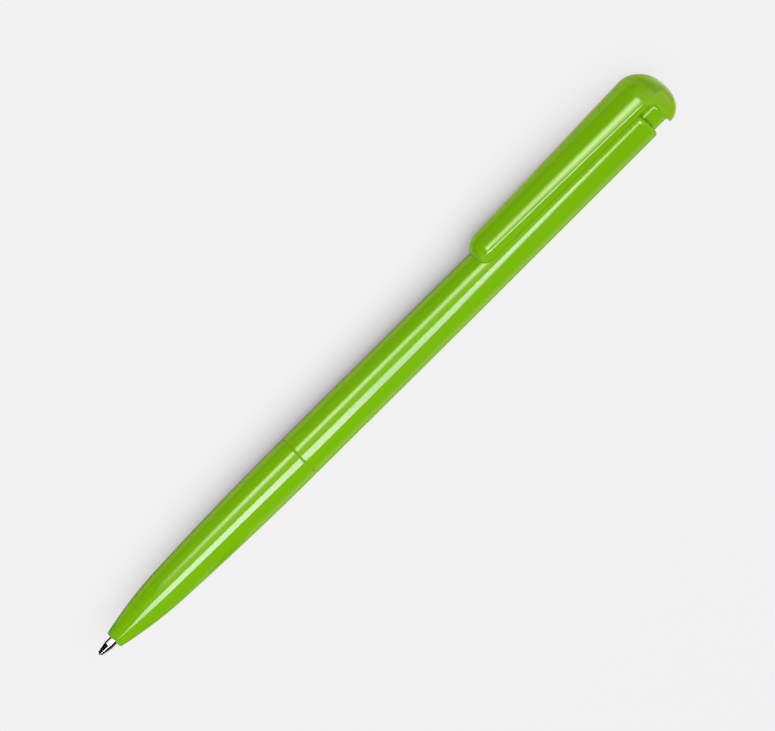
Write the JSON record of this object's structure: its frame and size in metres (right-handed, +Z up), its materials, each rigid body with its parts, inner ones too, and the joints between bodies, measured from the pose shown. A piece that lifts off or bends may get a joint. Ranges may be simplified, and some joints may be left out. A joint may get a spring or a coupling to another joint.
{
  "type": "ballpoint pen",
  "caption": "Slim retractable ballpoint pen in glossy plastic: a domed push button moulded with its pocket clip works a click cam that moves a sprung refill.",
  "frame": {"origin": "on the table under the middle of the pen, which lies on its barrel and on the edge of its clip", "axes": "+X along the pen from the button to the point, +Z up, clip towards -Y"},
  "size_m": [0.14, 0.0118, 0.0085],
  "materials": {
    "green": "gloss",
    "natural": "satin",
    "refill": "satin",
    "spring": "drawn wire",
    "point": "turned and polished",
    "ball": "polished",
    "ink": "wet",
    "grease": "satin"
  },
  "bodies": {
    "barrel": {"upper_barrel": "green"},
    "front": {"lower_barrel": "green"},
    "button": {"push_cap": "green", "plunger": "natural"},
    "refill": {"refill_tube": "refill", "refill_tip": "point", "return_spring": "spring", "ink_column": "ink", "ink_follower": "grease"},
    "rotor": {"cam_rotor": "natural"},
    "ball": {"writing_ball": "ball"}
  },
  "joints": [
    {"name": "front_slide", "type": "slide", "parent": "barrel", "child": "front", "axis": [1, 0, 0], "range_m": [0, 0.06]},
    {"name": "button_slide", "type": "slide", "parent": "barrel", "child": "button", "axis": [1, 0, 0], "range_m": [-0.005, 0.0016]},
    {"name": "refill_slide", "type": "slide", "parent": "barrel", "child": "refill", "axis": [1, 0, 0], "range_m": [-0.005, 0.0016], "deforming": ["return_spring"]},
    {"name": "rotor_turn", "type": "hinge", "parent": "refill", "child": "rotor", "pos_m": [-0.041, 0.00166, 0.00425], "axis": [1, 0, 0], "continuous": true},
    {"name": "ball_roll", "type": "hinge", "parent": "refill", "child": "ball", "pos_m": [0.0696, 0.00166, 0.00425], "axis": [0, 1, 0], "continuous": true}
  ],
  "couplings": [
    {"joint": "refill_slide", "follows": "button_slide", "ratio": 1}
  ]
}
